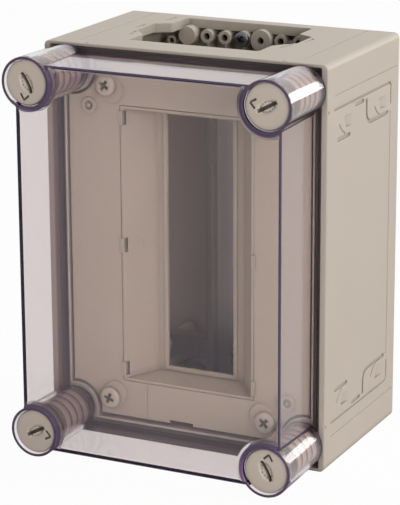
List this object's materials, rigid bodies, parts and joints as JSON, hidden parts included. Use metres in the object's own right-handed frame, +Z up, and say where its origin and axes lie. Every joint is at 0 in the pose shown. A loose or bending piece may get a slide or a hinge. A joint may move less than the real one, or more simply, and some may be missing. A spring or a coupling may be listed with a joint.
{
  "type": "circuit breaker enclosure",
  "caption": "Wall-mounted plastic enclosure for modular circuit breakers, with a clear lid on quarter-turn fasteners, a slotted device cover, a mounting rail and an open top flange.",
  "frame": {"origin": "bottom centre of the object's box", "axes": "+X to the right seen from the front, +Y from the lid to the wall, +Z up"},
  "size_m": [0.1876, 0.1644, 0.25],
  "materials": {
    "housing_plastic": "satin",
    "cover_plastic": "satin",
    "frame_plastic": "satin",
    "pillar_plastic": "satin",
    "screw_plastic": "satin",
    "fastener_plastic": "satin",
    "gasket_rubber": "matte",
    "clear_polycarbonate": "polished",
    "zinc_steel": "satin",
    "screw_steel": "satin",
    "dark_steel": "satin"
  },
  "bodies": {
    "enclosure": {"base_housing": "housing_plastic", "lid_gasket": "gasket_rubber", "clear_lid": "clear_polycarbonate", "device_cover": "cover_plastic", "window_frame": "frame_plastic", "mounting_rail": "zinc_steel", "boss_screw": "dark_steel", "cover_screw_top_left": "screw_plastic", "cover_pillar_top_left": "pillar_plastic", "support_screw_top_left": "screw_steel", "cover_screw_top_right": "screw_plastic", "cover_pillar_top_right": "pillar_plastic", "support_screw_top_right": "screw_steel", "cover_screw_bottom_left": "screw_plastic", "cover_pillar_bottom_left": "pillar_plastic", "support_screw_bottom_left": "screw_steel", "cover_screw_bottom_right": "screw_plastic", "cover_pillar_bottom_right": "pillar_plastic", "support_screw_bottom_right": "screw_steel", "rail_support_top": "zinc_steel", "rail_screw_top": "screw_steel", "rail_support_bottom": "zinc_steel", "rail_screw_bottom": "screw_steel"},
    "fastener_top_left": {"lid_fastener_top_left": "fastener_plastic"},
    "fastener_top_right": {"lid_fastener_top_right": "fastener_plastic"},
    "fastener_bottom_left": {"lid_fastener_bottom_left": "fastener_plastic"},
    "fastener_bottom_right": {"lid_fastener_bottom_right": "fastener_plastic"}
  },
  "joints": [
    {"name": "turn_top_left", "type": "hinge", "parent": "enclosure", "child": "fastener_top_left", "pos_m": [-0.07785, -0.06, 0.2341], "axis": [0, -1, 0], "range_deg": [0, 90]},
    {"name": "turn_top_right", "type": "hinge", "parent": "enclosure", "child": "fastener_top_right", "pos_m": [0.07785, -0.06, 0.2341], "axis": [0, -1, 0], "range_deg": [0, 90]},
    {"name": "turn_bottom_left", "type": "hinge", "parent": "enclosure", "child": "fastener_bottom_left", "pos_m": [-0.07785, -0.06, 0.0159], "axis": [0, -1, 0], "range_deg": [0, 90]},
    {"name": "turn_bottom_right", "type": "hinge", "parent": "enclosure", "child": "fastener_bottom_right", "pos_m": [0.07785, -0.06, 0.0159], "axis": [0, -1, 0], "range_deg": [0, 90]}
  ]
}
